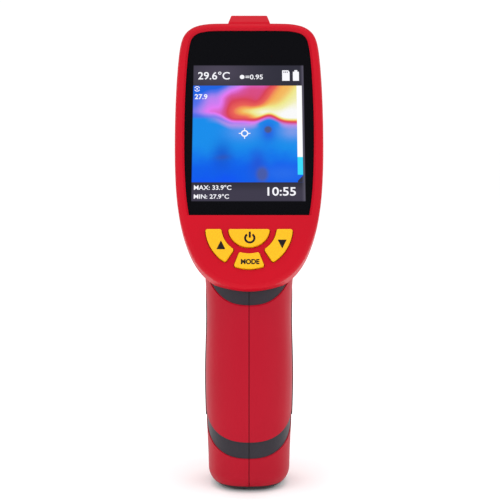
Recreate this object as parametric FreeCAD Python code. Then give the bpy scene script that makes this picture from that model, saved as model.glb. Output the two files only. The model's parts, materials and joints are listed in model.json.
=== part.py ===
"""Pistol-grip thermal imaging camera, as an assembly of separate pieces.

Frame: +Z up, +Y the way the lenses look, the display faces -Y, +X to the user's right.
The origin is the mouth of the tripod socket, in the middle of the grip's base. Millimetres.

Two local frames are used besides. In both, X is +X, Y points into the camera and Z up:
  face  origin on the rim's crest at the display's centre, leaning back by FACE_TILT;
  grip  origin at the base, leaning forward by GRIP_RAKE.
"""

import FreeCAD
import Part
import math
import os
from FreeCAD import Placement, Rotation, Vector

# ---------------------------------------------------------------- driving dimensions
# Shells and fits
WALL = 2.0              # moulded wall of the shells
GAP = 0.15              # clearance between fixed pieces
FREE = 0.3              # clearance round a moving piece
FIT = 0.06              # radial clearance of a pin or a screw
SEAM = 0.15             # each shell stops this short of the middle plane
LIP_H = 3.5             # the grip's rim reaches this far up inside the bezel's tongue

# Display and face
DISPLAY_W, DISPLAY_H = 48.6, 64.8       # active area of a 3.2 inch display
FACE_W = DISPLAY_W + 16.4               # widest part of the face
FACE_TOP = DISPLAY_H / 2 + 22.5         # from the display's centre up to the top of the face
FACE_TIP = DISPLAY_H / 2 + 39.0         # from the display's centre down to the tip of the face
FACE_TILT = 24.5        # degrees that the face leans back
BEZEL_DEPTH = 9.0       # from the rim's crest to the parting plane
LIP_FOOT = -20.0        # the bezel's lip inside the shells stops this far below the display's centre
RIM_W = 4.2             # width of the raised rim round the face
RIM_ROUND = 2.6         # rounding of the rim's outer edge
RIM_INNER = 0.9         # bevel of its inner edge, round the window
WINDOW_N, WINDOW_T = 1.0, 1.6           # display window: its depth below the crest, its thickness
WINDOW_FOOT = DISPLAY_H / 2 + 6.3       # from the display's centre down to the window's lower edge
LEDGE = 1.5             # ledge that the window is glued to
TAPE_T = 0.3
WINDOW_WALL = 4.4       # inner face of the bezel round the window
PAD_WALL = 2.6          # inner face of the bezel behind the keys

# Keys
PAD_Z = -(DISPLAY_H / 2 + 12.1)         # centre of the key cluster
POWER_R = 8.9           # the power key is the lower part of a disc
RING_IN, RING_OUT = 11.7, 18.5          # the other three keys share a ring
KEY_DROP = 0.8          # the upper edges of the keys, below the cluster's centre
ARROW_END = 57.5        # degrees below level where an arrow key ends
MODE_HALF = 20.5        # half the angle of the mode key
KEY_CORNER = 0.9
KEY_RISE = 1.2          # key top above the face
KEY_TRAVEL = 0.6
FLANGE, FLANGE_T = 0.8, 1.2             # retaining flange: its reach and its thickness
STEM_R, STEM_END = 1.5, 6.6

# Boards and display module
LCD_N, LCD_T, TRAY_T = 4.6, 1.2, 2.3
BOARD_N, BOARD_T = 8.4, 1.6             # main board's rear face, and its thickness
BOARD_INSET = 4.0
DOME_H = 0.8

# Batteries
CELL_D, CELL_L = 14.5, 50.5             # AA cells, two by two
CELL_STEP = CELL_D / 2 + 0.05
HOLDER_WALL = 0.7
HOLDER_W0 = 29.5        # underside of the battery holder, along the grip
HOLDER_FLOOR = 1.2
COIL_L = 3.4            # working length of a contact spring
PLATE_T = 0.5

# Grip
GRIP_RAKE = 6.0         # degrees that the grip leans forward
GRIP_W = 2 * (CELL_D + HOLDER_WALL + WALL) + 3.5        # widest part of the grip
GRIP_D = GRIP_W + 5.6   # deepest part of the grip
SQUARE_REAR, SQUARE_FRONT = 2.4, 2.7    # superellipse exponents of its section
NECK_Z = HOLDER_W0 + CELL_L + 4.6       # height of the neck plane at the back of the grip
NECK_Y = -13.4
NECK_SLOPE = 22.5       # degrees that the head's underside rises towards the front
BAND_H = 6.0
BAND_STEP, BAND_T = 0.4, 0.8            # rubber band: its depth below the grip's surface, its thickness
BAND_RISE = 42.0        # degrees that the upper band's lower edge rises forward, so the band runs out to a point
LOW_BAND_Z = 13.5       # lower edge of the lower band at the back of the grip
LOW_BAND_SLOPE = 30.5
BASE_T = 2.0            # base cap
BASE_ROUND = 7.0
FLOOR_Z = 4.8           # top of the shells' floor

# Battery door
DOOR_W0 = HOLDER_W0 - 0.5               # lower edge, along the grip
DOOR_SIDE = -4.0        # rear edge, in the grip frame
DOOR_TOP_Z, DOOR_SLOPE = 73.0, 38.0      # where its upper edge starts at the rear, and how steeply that rises
DOOR_PROUD, DOOR_T = 0.3, 2.1
HINGE_Y = 0.483 * GRIP_D - 1.6          # hinge line, in the grip frame
KNUCKLE_R, DOOR_PIN_R, KNUCKLE_X, LUG_X = 2.0, 0.9, 5.0, 8.6

# Head and nose
FACE_Y = -17.0 + FACE_TIP * math.sin(math.radians(FACE_TILT))
FACE_Z = NECK_Z + 1.4 + FACE_TIP * math.cos(math.radians(FACE_TILT))
HEAD_SWELL = 1.045      # the head's middle section, beyond the mean of its ends
NOSE_Y = FACE_Y + 63.4  # where the shells end and the nose begins
NOSE_Z = FACE_Z + 4.0   # middle of the nose
NOSE_W, NOSE_H = FACE_W - 14.6, FACE_TOP + 6.0
NOSE_OUT = 8.0          # how far the nose stands in front of the shells
SPIGOT, SPIGOT_T = 5.0, 1.8             # the nose's spigot inside the shells: its length and wall
HUMP_W, HUMP_TOP_W = 10.6, 8.0          # half widths of the hump on the head, low down and on top
HUMP_RISE, HUMP_N0, HUMP_N1 = 5.3, 0.8, 38.0

# Port cover, in the hump
FLAP_X, FLAP_N0, FLAP_N1, FLAP_T = 5.6, 10.8, 24.0, 1.6
TRUNNION_R, TRUNNION_X = 0.75, 6.9

# Lens, detector and camera
LENS_X, LENS_Z = -4.0, NOSE_Z + 10.0
LENS_R = 8.8
APERTURE_R = 10.0
CAM_X, CAM_R = 11.2, 3.1
NOSE_WALL = 2.45        # behind the cover's track
BARREL_R = 11.0
SENSOR_Y = NOSE_Y - 15.6                # sensor board's rear face
COVER_W, COVER_H = 14.5, 23.4           # sliding lens cover: half its width, its height
COVER_TONGUE, TONGUE_T, COVER_T = 1.8, 0.9, 2.1
COVER_TRAVEL = COVER_H + 0.2

# Trigger, in the grip frame
TRIGGER_X = 6.8         # half its width
TRIGGER_Y = 18.0        # its pivot
TRIGGER_W1 = NECK_Z + 25.4
TRIGGER_PIN_R, HUB_R = 1.25, 3.0
CHEEK_T = 2.2
TRIGGER_SWING = 7.0     # degrees

# Tripod socket, 1/4-20 UNC drawn at its tapping size
SOCKET_R, SOCKET_L, INSERT_R = 2.6, 9.0, 5.0

FACE = Placement(Vector(0, FACE_Y, FACE_Z), Rotation(Vector(1, 0, 0), -FACE_TILT))
GRIP = Placement(Vector(0, 0, 0), Rotation(Vector(1, 0, 0), -GRIP_RAKE))
X, Y, Z = Vector(1, 0, 0), Vector(0, 1, 0), Vector(0, 0, 1)
BIG = 400.0


# ---------------------------------------------------------------- helpers
def placed(shape, placement):
    """A copy of the shape carried from a local frame into the row frame."""
    moved = shape.copy()
    moved.transformShape(placement.toMatrix(), False)
    return moved


def box(x0, x1, y0, y1, z0, z1):
    return Part.makeBox(x1 - x0, y1 - y0, z1 - z0, Vector(x0, y0, z0))


def cylinder(radius, start, axis, length):
    return Part.makeCylinder(radius, length, Vector(*start), axis)


def tube(outer, inner, start, axis, length):
    return cylinder(outer, start, axis, length).cut(cylinder(inner, start, axis, length))


def crossbar(radius, y, z, half_length):
    """A cylinder along X."""
    return cylinder(radius, (-half_length, y, z), X, 2 * half_length)


def fused(shapes):
    return shapes[0].multiFuse(shapes[1:])


def smooth_wire(points):
    """A closed smooth curve through the points."""
    curve = Part.BSplineCurve()
    curve.interpolate(Points=points, PeriodicFlag=True)
    return Part.Wire(curve.toShape())


def flat_face(loop, depth):
    """A face from a loop of (x, z) points, at local Y = depth."""
    return Part.Face(smooth_wire([Vector(x, depth, z) for x, z in loop]))


def prism(loop, near, far):
    """The loop carried along local Y from near to far."""
    return flat_face(loop, near).extrude(Y * (far - near))


def plate(face, near, far):
    """A face in the local XZ plane carried along Y from near to far."""
    moved = face.copy()
    moved.translate(Y * near)
    return moved.extrude(Y * (far - near))


def polygon(points):
    return Part.Face(Part.makePolygon(points + [points[0]]))


def edges_at(shape, y, tolerance=0.01):
    """Edges that lie wholly at local Y = y."""
    return [e for e in shape.Edges if abs(e.BoundBox.YMin - y) < tolerance and abs(e.BoundBox.YMax - y) < tolerance]


def layer(y, z, slope, low, high):
    """The layer between two planes that rise forward by slope degrees past the line (y, z)."""
    block = box(-BIG, BIG, -BIG, BIG, low, high)
    return placed(block, Placement(Vector(0, y, z), Rotation(X, slope)))


def coil(radius, wire, length, turns):
    """A round-wire coil spring along +Z, its ends on Z = 0 and Z = length."""
    path = Part.makeHelix((length - 2 * wire) / turns, length - 2 * wire, radius)
    ring = Part.Wire(Part.makeCircle(wire, Vector(radius, 0, 0), Y))
    body = Part.Wire(path.Edges).makePipeShell([ring], True, True)
    body.translate(Z * wire)
    return body


def screw(head_r, head_h, shank_r, length):
    """A pan-head screw pointing down -Z, the underside of its head on Z = 0."""
    head = cylinder(head_r, (0, 0, 0), Z, head_h)
    head = head.makeFillet(0.4, [e for e in head.Edges if e.BoundBox.ZMin > head_h - 0.01])
    slot = box(-head_r, head_r, -0.25, 0.25, head_h - 0.6, head_h + 1)
    cross = box(-0.25, 0.25, -head_r, head_r, head_h - 0.6, head_h + 1)
    drive = fused([slot, cross]).common(cylinder(head_r * 0.62, (0, 0, 0), Z, head_h + 1))
    return fused([head, cylinder(shank_r, (0, 0, 0), -Z, length)]).cut(drive)


def export(shape, name):
    solids = [s for s in shape.Solids if s.Volume > 0.02]
    whole = solids[0] if len(solids) == 1 else Part.makeCompound(solids)
    whole.exportStep(f"parts/{name}.step")
    print(f"{name:20s} solids {len(solids)}  volume {whole.Volume:9.1f}  valid {whole.isValid()}")


# ---------------------------------------------------------------- outlines
# Control points down the right side: x as a share of half the width, z as a share of the height.
FACE_POLES = [
    (0.0, 1.002), (0.37, 1.002), (0.675, 1.0), (0.927, 0.926), (0.976, 0.704), (1.001, 0.37), (1.004, 0.0),
    (0.988, -0.28), (0.938, -0.532), (0.812, -0.735), (0.64, -0.885), (0.331, -0.982), (0.0, -1.01),
]
NOSE_POLES = [
    (0.0, 1.0), (0.38, 1.005), (0.72, 0.99), (0.95, 0.86), (1.0, 0.58), (1.0, 0.3), (1.0, 0.0),
    (1.0, -0.3), (0.98, -0.58), (0.92, -0.86), (0.70, -0.99), (0.37, -1.005), (0.0, -1.0),
]
LOOP_STEPS = 48


def loop_from(poles, half_w, top, bottom, inset=0.0):
    """Points (x, z) round a closed curve drawn by control points, moved inwards by inset."""
    half = [Vector(x * half_w, 0, z * (top if z > 0 else bottom)) for x, z in poles]
    whole = half + [Vector(-p.x, 0, p.z) for p in half[-2:0:-1]]
    curve = Part.BSplineCurve()
    curve.buildFromPoles(whole, True, 3)
    first, last = curve.FirstParameter, curve.LastParameter
    points = []
    for i in range(LOOP_STEPS):
        at = first + (last - first) * i / LOOP_STEPS
        p, tangent = curve.value(at), curve.tangent(at)[0]
        inward = Vector(tangent.z, 0, -tangent.x)
        if inward.dot(p) > 0:
            inward = inward * -1
        p = p + inward * inset
        points.append((p.x, p.z))
    return points


def face_loop(inset=0.0):
    return loop_from(FACE_POLES, FACE_W / 2, FACE_TOP, FACE_TIP, inset)


def nose_loop(inset=0.0):
    return [(x, z + NOSE_Z) for x, z in loop_from(NOSE_POLES, NOSE_W / 2, NOSE_H / 2, NOSE_H / 2, inset)]


# ---------------------------------------------------------------- master volumes
def head_volume(inset):
    """The head from the parting plane to the nose, its section turning from the face's into the nose's."""
    near = BEZEL_DEPTH if inset == 0 else BEZEL_DEPTH - 0.5
    far = NOSE_Y if inset == 0 else NOSE_Y + 0.5
    rear = [FACE.multVec(Vector(x, near, z)) for x, z in face_loop(0.5 + inset)]
    front = [Vector(x, far, z) for x, z in nose_loop(inset)]
    middle = [(a + b) * 0.5 for a, b in zip(rear, front)]
    centre = sum(p.z for p in middle) / len(middle)
    swell = [Vector(p.x * HEAD_SWELL, p.y, centre + (p.z - centre) * HEAD_SWELL) for p in middle]
    return Part.makeLoft([smooth_wire(points) for points in (rear, swell, front)], True, False)


# Up the grip: height as a share of the neck's; half the width and the rear and front depths as shares.
GRIP_SHAPE = [
    (-0.1, 0.44, 0.455, 0.43), (0.1, 0.464, 0.472, 0.452), (0.3, 0.484, 0.488, 0.48),
    (0.58, 0.5, 0.505, 0.495), (0.82, 0.488, 0.497, 0.487), (1.04, 0.505, 0.507, 0.497),
    (1.26, 0.56, 0.515, 0.505), (1.48, 0.59, 0.52, 0.51),
]
GRIP_STEPS = 28


def grip_volume(inset):
    """The grip, a loft of superellipses along its raked axis."""
    wires = []
    for height, w, rear, front in GRIP_SHAPE:
        points = []
        for i in range(GRIP_STEPS):
            c, s = math.cos(2 * math.pi * i / GRIP_STEPS), math.sin(2 * math.pi * i / GRIP_STEPS)
            depth = (front if s > 0 else rear) * GRIP_D - inset
            power = 2 / (SQUARE_FRONT if s > 0 else SQUARE_REAR)
            x = (w * GRIP_W - inset) * math.copysign(abs(c) ** power, c)
            y = depth * math.copysign(abs(s) ** power, s)
            points.append(GRIP.multVec(Vector(x, y, height * NECK_Z)))
        wires.append(smooth_wire(points))
    return Part.makeLoft(wires, True, False)


def below_neck(lift):
    return layer(NECK_Y, NECK_Z, NECK_SLOPE, -BIG, lift)


def grip_outer():
    """The grip's outside, up to its rim inside the tongue, with a flat base rounded at its edge."""
    body = grip_volume(0).common(box(-BIG, BIG, -BIG, BIG, 0, BIG))
    foot = [e for e in body.Edges if e.BoundBox.ZMax < 0.01]
    body = body.makeFillet(BASE_ROUND, foot)
    return body.common(below_neck(LIP_H))


def hump():
    """The hump that runs along the top of the head, in the row frame."""
    top = FACE_TOP + HUMP_RISE
    low = FACE_TOP - 5
    section = polygon([Vector(-HUMP_W, HUMP_N0, low), Vector(-HUMP_TOP_W, HUMP_N0, top),
                       Vector(HUMP_TOP_W, HUMP_N0, top), Vector(HUMP_W, HUMP_N0, low)])
    body = section.extrude(Y * (HUMP_N1 - HUMP_N0))
    rear = polygon([Vector(-BIG, HUMP_N0 - 5, top - 15), Vector(-BIG, HUMP_N0 - 5, top + 5),
                    Vector(-BIG, HUMP_N0 + 5, top + 5), Vector(-BIG, HUMP_N0 - 0.8, top - 6.6)])
    front = polygon([Vector(-BIG, HUMP_N1 - 9, top + 1), Vector(-BIG, HUMP_N1 + 9, top + 1),
                     Vector(-BIG, HUMP_N1 + 9, top - 12)])
    body = body.cut(rear.extrude(X * 2 * BIG)).cut(front.extrude(X * 2 * BIG))
    rounded = [e for e in body.Edges if e.BoundBox.ZMax > top - 0.01 and e.BoundBox.ZLength < 0.01]
    body = body.makeFillet(1.4, rounded)
    return placed(body, FACE)


# ---------------------------------------------------------------- face
def pad_point(radius, degrees):
    turn = math.radians(degrees)
    return Vector(radius * math.cos(turn), 0, PAD_Z + radius * math.sin(turn))


def rounded_face(edges):
    """A face at Y = 0, cut off level below the cluster's centre, with its corners rounded by KEY_CORNER."""
    block = Part.Face(Part.Wire(Part.__sortEdges__(edges))).extrude(Y * 5)
    block = block.common(box(-BIG, BIG, -1, 6, -BIG, PAD_Z - KEY_DROP))
    corners = [e for e in block.Edges if abs(e.BoundBox.YLength - 5) < 0.01 and e.BoundBox.XLength < 0.01]
    block = block.makeFillet(KEY_CORNER, corners)
    return [f for f in block.Faces if f.BoundBox.YMax < 0.01][0]


def arc(radius, start, end):
    return Part.Arc(pad_point(radius, start), pad_point(radius, (start + end) / 2), pad_point(radius, end)).toShape()


def ring_key(start, end):
    """Outline of a key that takes a stretch of the ring, by its two angles."""
    side0 = Part.makeLine(pad_point(RING_IN, start), pad_point(RING_OUT, start))
    side1 = Part.makeLine(pad_point(RING_OUT, end), pad_point(RING_IN, end))
    return rounded_face([side0, arc(RING_OUT, start, end), side1, arc(RING_IN, end, start)])


def key_outlines():
    """Each key's outline, and where its stem stands."""
    disc = [arc(POWER_R, 180, 360), arc(POWER_R, 0, 180)]
    middle = (RING_IN + RING_OUT) / 2
    arrow = 180 + ARROW_END / 2
    return {
        "key_power": (rounded_face(disc), pad_point(0.5 * POWER_R, 270)),
        "key_up": (ring_key(180, 180 + ARROW_END), pad_point(middle, arrow)),
        "key_down": (ring_key(360 - ARROW_END, 360), pad_point(middle, 540 - arrow)),
        "key_mode": (ring_key(270 - MODE_HALF, 270 + MODE_HALF), pad_point(middle, 270)),
    }


def make_key(outline, stem):
    """A key cap with a flange behind the bezel and a stem over its dome, in the face frame."""
    top = -KEY_RISE
    cap = plate(outline, top, PAD_WALL + FREE)
    cap = cap.makeFillet(0.45, edges_at(cap, top))
    flange = plate(outline.makeOffset2D(FLANGE), PAD_WALL + FREE, PAD_WALL + FREE + FLANGE_T)
    stem_y = PAD_WALL + FREE + FLANGE_T
    post = cylinder(STEM_R, (stem.x, stem_y, stem.z), Y, STEM_END - stem_y)
    return fused([cap, flange, post])


def window_plate(inset, near, far):
    """The area inside the rim, above the display window's straight lower edge."""
    above = box(-BIG, BIG, near, far, -WINDOW_FOOT + inset, BIG)
    return prism(face_loop(RIM_W + inset), near, far).common(above)


BOARD_POSTS = [(-25.2, 0.722), (25.2, 0.722), (-22.6, -0.616), (22.6, -0.616)]


def post_places():
    """Where the main board is screwed to the bezel."""
    grow = FACE_W / 65.0
    return [(x * grow, z * (FACE_TOP if z > 0 else FACE_TIP)) for x, z in BOARD_POSTS]


def wall_at(z):
    """The bezel's inner face: behind the window, or thinner behind the keys."""
    return WINDOW_WALL if z > -WINDOW_FOOT else PAD_WALL


def make_bezel(keys):
    """The face frame: rim, window pocket and ledge, key openings, inner lip and board posts."""
    body = prism(face_loop(), 0, BEZEL_DEPTH - GAP)
    body = body.makeFillet(RIM_ROUND, edges_at(body, 0))
    body = body.cut(window_plate(0, -1, WINDOW_N + WINDOW_T + TAPE_T))
    mouth = [e for e in edges_at(body, 0) if e.BoundBox.ZMin > -WINDOW_FOOT - 0.1 and e.BoundBox.ZLength > 1]
    body = body.makeChamfer(RIM_INNER, mouth)
    lip = prism(face_loop(0.5 + WALL + GAP), WINDOW_WALL, BEZEL_DEPTH - GAP)
    upper = box(-BIG, BIG, 0, BIG, LIP_FOOT, BIG)
    lip = lip.fuse(prism(face_loop(0.5 + WALL + 2 * GAP), WINDOW_WALL, BOARD_N + BOARD_T - 0.1).common(upper))
    cavity = prism(face_loop(0.5 + WALL + GAP + 0.9), WINDOW_WALL, BEZEL_DEPTH + 5)
    pad = box(-BIG, BIG, PAD_WALL, WINDOW_WALL + 1, -BIG, -WINDOW_FOOT - 2.2)
    cavity = cavity.fuse(prism(face_loop(0.5 + WALL + GAP + 0.9), PAD_WALL, WINDOW_WALL + 1).common(pad))
    body = body.fuse(lip).cut(cavity).cut(window_plate(LEDGE, 0, WINDOW_WALL + 1))
    posts = [cylinder(2.3, (x, wall_at(z) - 0.2, z), Y, BOARD_N - GAP - wall_at(z) + 0.2) for x, z in post_places()]
    posts += [box(min(x, 1.12 * x), max(x, 1.12 * x), WINDOW_WALL - 0.2, BOARD_N - GAP, z - 1.0, z + 1.0)
              for x, z in post_places() if z > 0]
    body = body.fuse(fused(posts).common(prism(face_loop(WALL), 0, BEZEL_DEPTH)))
    body = placed(body, FACE).fuse(placed(hump_rear_block(), FACE).common(hump()))
    body = placed(body, FACE.inverse())
    holes = [cylinder(1.0, (x, wall_at(z) + 0.6, z), Y, 20) for x, z in post_places()]
    holes += [plate(outline.makeOffset2D(FREE), -2, PAD_WALL + 1) for outline, _ in keys.values()]
    body = body.cut(fused(holes))
    neck = grip_volume(-GAP).common(below_neck(LIP_H + GAP))
    return placed(body, FACE).cut(neck)


def hump_rear_block():
    """The stretch of hump that belongs to the bezel, outside its rim's inner edge."""
    return box(-BIG, BIG, 0, BEZEL_DEPTH - GAP, FACE_TOP - 3.4, BIG)


def make_face():
    keys = key_outlines()
    nodes = {name: placed(make_key(outline, stem), FACE) for name, (outline, stem) in keys.items()}
    nodes["rear_bezel"] = make_bezel(keys)
    back = WINDOW_N + WINDOW_T
    nodes["display_window"] = placed(window_plate(GAP, WINDOW_N, back), FACE)
    tape = window_plate(0.4, back, back + TAPE_T).cut(window_plate(LEDGE + 0.1, back - 1, back + 1))
    nodes["window_gasket"] = placed(tape, FACE)
    half, low, high = DISPLAY_W / 2 + 0.95, -DISPLAY_H / 2 - 4.1, DISPLAY_H / 2 + 1.1
    panel = box(-half, half, LCD_N, LCD_N + LCD_T, low, high)
    nodes["lcd_panel"] = placed(panel, FACE)
    near = LCD_N + LCD_T
    frame = box(-half - 0.1, half + 0.1, near, near + TRAY_T, low - 2.0, high + 1.2)
    frame = frame.fuse(box(-half - 0.1, half + 0.1, LCD_N + 0.3, near, high + 0.15, high + 1.2))
    nodes["lcd_frame"] = placed(frame, FACE)
    domes = []
    for _, stem in keys.values():
        ball = Part.makeSphere(5.0, Vector(stem.x, BOARD_N - DOME_H + 5.0, stem.z))
        domes.append(ball.common(box(-BIG, BIG, 0, BOARD_N, -BIG, BIG)))
    nodes["key_domes"] = placed(Part.makeCompound(domes), FACE)
    return nodes


# ---------------------------------------------------------------- main board
def make_boards():
    n1 = BOARD_N + BOARD_T
    tail = -FACE_TIP + 9.0
    raised = [(x, z + 2.2) for x, z in face_loop(BOARD_INSET)]
    outline = prism(face_loop(BOARD_INSET), BOARD_N, n1).common(prism(raised, BOARD_N, n1))
    outline = outline.common(box(-BIG, BIG, 0, BIG, tail, FACE_TOP - 5))
    holes = [cylinder(1.2, (x, 0, z), Y, 20) for x, z in post_places()]
    nodes = {"main_board": placed(outline.cut(fused(holes)), FACE)}
    chips = [box(-16, -2, n1, n1 + 1.4, 2, 16), box(5, 15, n1, n1 + 1.1, -14, -4), box(4, 20, n1, n1 + 2.4, 8, 26),
             box(-18, -8, n1, n1 + 1.0, -22, -15), box(-4, 4, n1, n1 + 1.0, -34, -28)]
    nodes["board_chips"] = placed(Part.makeCompound(chips), FACE)
    nodes["buzzer"] = placed(tube(5.0, 0.9, (-14, n1, -36), Y, 3.2), FACE)
    usb_top = FACE_TOP - 3.4
    usb = box(-4.5, 4.5, n1, n1 + 3.2, usb_top - 7.4, usb_top)
    usb = usb.cut(box(-4.0, 4.0, n1 + 0.4, n1 + 2.8, usb_top - 6, usb_top + 1))
    usb = usb.fuse(box(-3.2, 3.2, n1 + 1.3, n1 + 1.9, usb_top - 6.5, usb_top - 0.8))
    nodes["usb_port"] = placed(usb, FACE)
    io = box(-8, 8, n1 + 6.9, n1 + 8.1, usb_top - 12.5, usb_top)
    nodes["io_board"] = placed(io, FACE)
    card = box(-6.2, 6.2, n1 + 5.0, n1 + 6.9, usb_top - 9.5, usb_top)
    card = card.cut(box(-5.6, 5.6, n1 + 5.4, n1 + 6.6, usb_top - 8.5, usb_top + 1))
    nodes["card_socket"] = placed(card, FACE)
    nodes["board_header"] = placed(box(-6.5, 6.5, n1, n1 + 6.9, usb_top - 12.4, usb_top - 9.9), FACE)
    screws = []
    for x, z in post_places():
        one = placed(screw(1.9, 1.3, 0.94, 4.8), Placement(Vector(0, 0, 0), Rotation(X, -90)))
        one.translate(Vector(x, n1, z))
        screws.append(one)
    nodes["board_screws"] = placed(Part.makeCompound(screws), FACE)
    return nodes


# ---------------------------------------------------------------- batteries, in the grip frame
HOLDER_TOP = HOLDER_W0 + 2 * HOLDER_FLOOR + CELL_L + COIL_L + PLATE_T
HOLDER_FRONT = CELL_STEP + 4.5


def rounded_square(half, radius, low, high):
    """An upright square block with rounded corners."""
    block = box(-half, half, -half, half, low, high)
    upright = [e for e in block.Edges if e.BoundBox.ZLength > high - low - 0.01]
    return block.makeFillet(radius, upright)


def holder_envelope(grow):
    half = CELL_STEP + CELL_D / 2 + 0.1 + HOLDER_WALL + grow
    body = rounded_square(half, CELL_D / 2 + HOLDER_WALL + grow, HOLDER_W0 - grow, HOLDER_TOP + grow)
    return body.common(box(-BIG, BIG, -BIG, HOLDER_FRONT + grow, -BIG, BIG))


def cell_places():
    """Centre of each cell, and whether its spring is underneath."""
    return [(sx * CELL_STEP, sy * CELL_STEP, sx * sy > 0) for sx in (-1, 1) for sy in (-1, 1)]


def make_batteries():
    low, high = HOLDER_W0 + HOLDER_FLOOR, HOLDER_TOP - HOLDER_FLOOR
    inner = rounded_square(CELL_STEP + CELL_D / 2 + 0.1, CELL_D / 2, low, high)
    front = box(-CELL_STEP - CELL_D / 2 - 0.1, CELL_STEP + CELL_D / 2 + 0.1, 0, BIG, low, high)
    holder = holder_envelope(0).cut(inner).cut(front)
    cells, springs, plates = [], [], []
    for x, y, spring_below in cell_places():
        base = low + COIL_L + 0.05 if spring_below else low + PLATE_T
        can = cylinder(CELL_D / 2 - 0.1, (x, y, base + 0.05), Z, CELL_L - 1.6)
        tip = cylinder(2.6, (x, y, base + CELL_L - 1.6), Z, 1.5)
        cell = fused([can, tip])
        if not spring_below:
            cell.rotate(Vector(x, y, base + CELL_L / 2), X, 180)
        cells.append(cell)
        lift = low if spring_below else high - COIL_L
        spring = coil(2.8, 0.4, COIL_L - 0.05, 3)
        spring.translate(Vector(x, y, lift + 0.02))
        springs.append(spring)
        at = high - PLATE_T if spring_below else low
        plates.append(box(x - 4.5, x + 4.5, y - 4.5, y + 4.5, at, at + PLATE_T - 0.05))
    return {
        "battery_holder": placed(holder, GRIP),
        "battery_cells": placed(Part.makeCompound(cells), GRIP),
        "contact_springs": placed(Part.makeCompound(springs), GRIP),
        "contact_plates": placed(Part.makeCompound(plates), GRIP),
    }


# ---------------------------------------------------------------- battery door, in the grip frame
def door_region(grow):
    """What the door takes from the grip: its front half, between the two bands, round the trigger."""
    body = box(-BIG, BIG, DOOR_SIDE - grow, BIG, DOOR_W0 - grow, BIG)
    top = layer(0, DOOR_TOP_Z, DOOR_SLOPE, -BIG, grow).common(below_neck(-BAND_H - 0.5 + grow))
    top = placed(top, GRIP.inverse())
    notch = box(-TRIGGER_X - 2.7 + grow, TRIGGER_X + 2.7 - grow, 0, BIG, TRIGGER_W1 - 25.0 + grow, BIG)
    return body.common(top).cut(notch)


def make_door():
    skin = grip_volume(-DOOR_PROUD).cut(grip_volume(DOOR_T - DOOR_PROUD))
    skin = placed(skin, GRIP.inverse()).common(door_region(0))
    knuckle = crossbar(KNUCKLE_R, HINGE_Y, DOOR_W0, KNUCKLE_X)
    lugs = crossbar(KNUCKLE_R + FREE, HINGE_Y, DOOR_W0, LUG_X + FREE)
    web = box(-KNUCKLE_X, KNUCKLE_X, HINGE_Y - KNUCKLE_R, HINGE_Y + 0.3, DOOR_W0, DOOR_W0 + 3.5)
    door = skin.cut(lugs).fuse(fused([knuckle, web.cut(knuckle)]))
    door = door.fuse(skin.common(box(-KNUCKLE_X, KNUCKLE_X, 0, BIG, DOOR_W0, DOOR_W0 + 4)))
    door = door.cut(crossbar(DOOR_PIN_R + FIT, HINGE_Y, DOOR_W0, BIG))
    ribs = [box(-9, 9, 0, BIG, w, w + 0.9) for w in (DOOR_W0 + 40.0, DOOR_W0 + 43.0, DOOR_W0 + 46.0)]
    shell = placed(grip_volume(-DOOR_PROUD - 0.6).cut(grip_volume(0)), GRIP.inverse())
    door = door.fuse(fused([shell.common(rib) for rib in ribs]))
    pin = crossbar(DOOR_PIN_R, HINGE_Y, DOOR_W0, LUG_X - 0.3)
    return {"battery_door": placed(door, GRIP), "door_pin": placed(pin, GRIP)}


# ---------------------------------------------------------------- trigger, in the grip frame
def trigger_profile():
    """The blade from the side, (y, w): the finger's hollow in front, the switch's pad behind."""
    w1 = TRIGGER_W1
    return [(15.4, w1 - 3), (15.3, w1 + 1.2), (17.5, w1 + 3.0), (21.0, w1 + 1.6), (23.6, w1 - 3.0),
            (25.4, w1 - 8.0), (27.3, w1 - 13.0), (29.6, w1 - 17.4), (29.6, w1 - 20.0), (26.5, w1 - 20.6),
            (21.0, w1 - 19.6), (17.2, w1 - 17.0), (15.8, w1 - 12.0), (15.5, w1 - 7.0)]


def make_trigger():
    outline = smooth_wire([Vector(-TRIGGER_X, y, w) for y, w in trigger_profile()])
    blade = Part.Face(outline).extrude(X * 2 * TRIGGER_X)
    blade = blade.makeFillet(0.9, [e for e in blade.Edges if e.BoundBox.XLength < 0.01])
    blade = blade.cut(crossbar(TRIGGER_PIN_R + FIT, TRIGGER_Y, TRIGGER_W1, BIG))
    pin = crossbar(TRIGGER_PIN_R, TRIGGER_Y, TRIGGER_W1, TRIGGER_X + FREE + CHEEK_T - 0.4)
    spring = coil(2.2, 0.35, 9.4, 5)
    spring = placed(spring, Placement(Vector(0, 5.6, TRIGGER_W1 - 6.6), Rotation(X, -90)))
    w = TRIGGER_W1 - 18.0
    body = box(-3.2, 3.2, 4.4, 11.6, w, w + 6.4)
    body = body.fuse(box(-1.2, 1.2, 11.6, 13.2, w + 3.2, w + 5.2))
    legs = [box(x - 0.4, x + 0.4, 2.2, 4.4, w + 3.0, w + 3.5) for x in (-2, 0, 2)]
    return {
        "trigger": placed(blade, GRIP),
        "trigger_pin": placed(pin, GRIP),
        "trigger_spring": placed(spring, GRIP),
        "trigger_switch": placed(fused([body] + legs), GRIP),
    }


def trigger_opening():
    low = TRIGGER_W1 - 22.6
    return box(-TRIGGER_X - FREE, TRIGGER_X + FREE, 12.5, 31.5, low, TRIGGER_W1 - 2.0)


# ---------------------------------------------------------------- port cover, in the face frame
FLAP_TOP = FACE_TOP + HUMP_RISE


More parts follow.
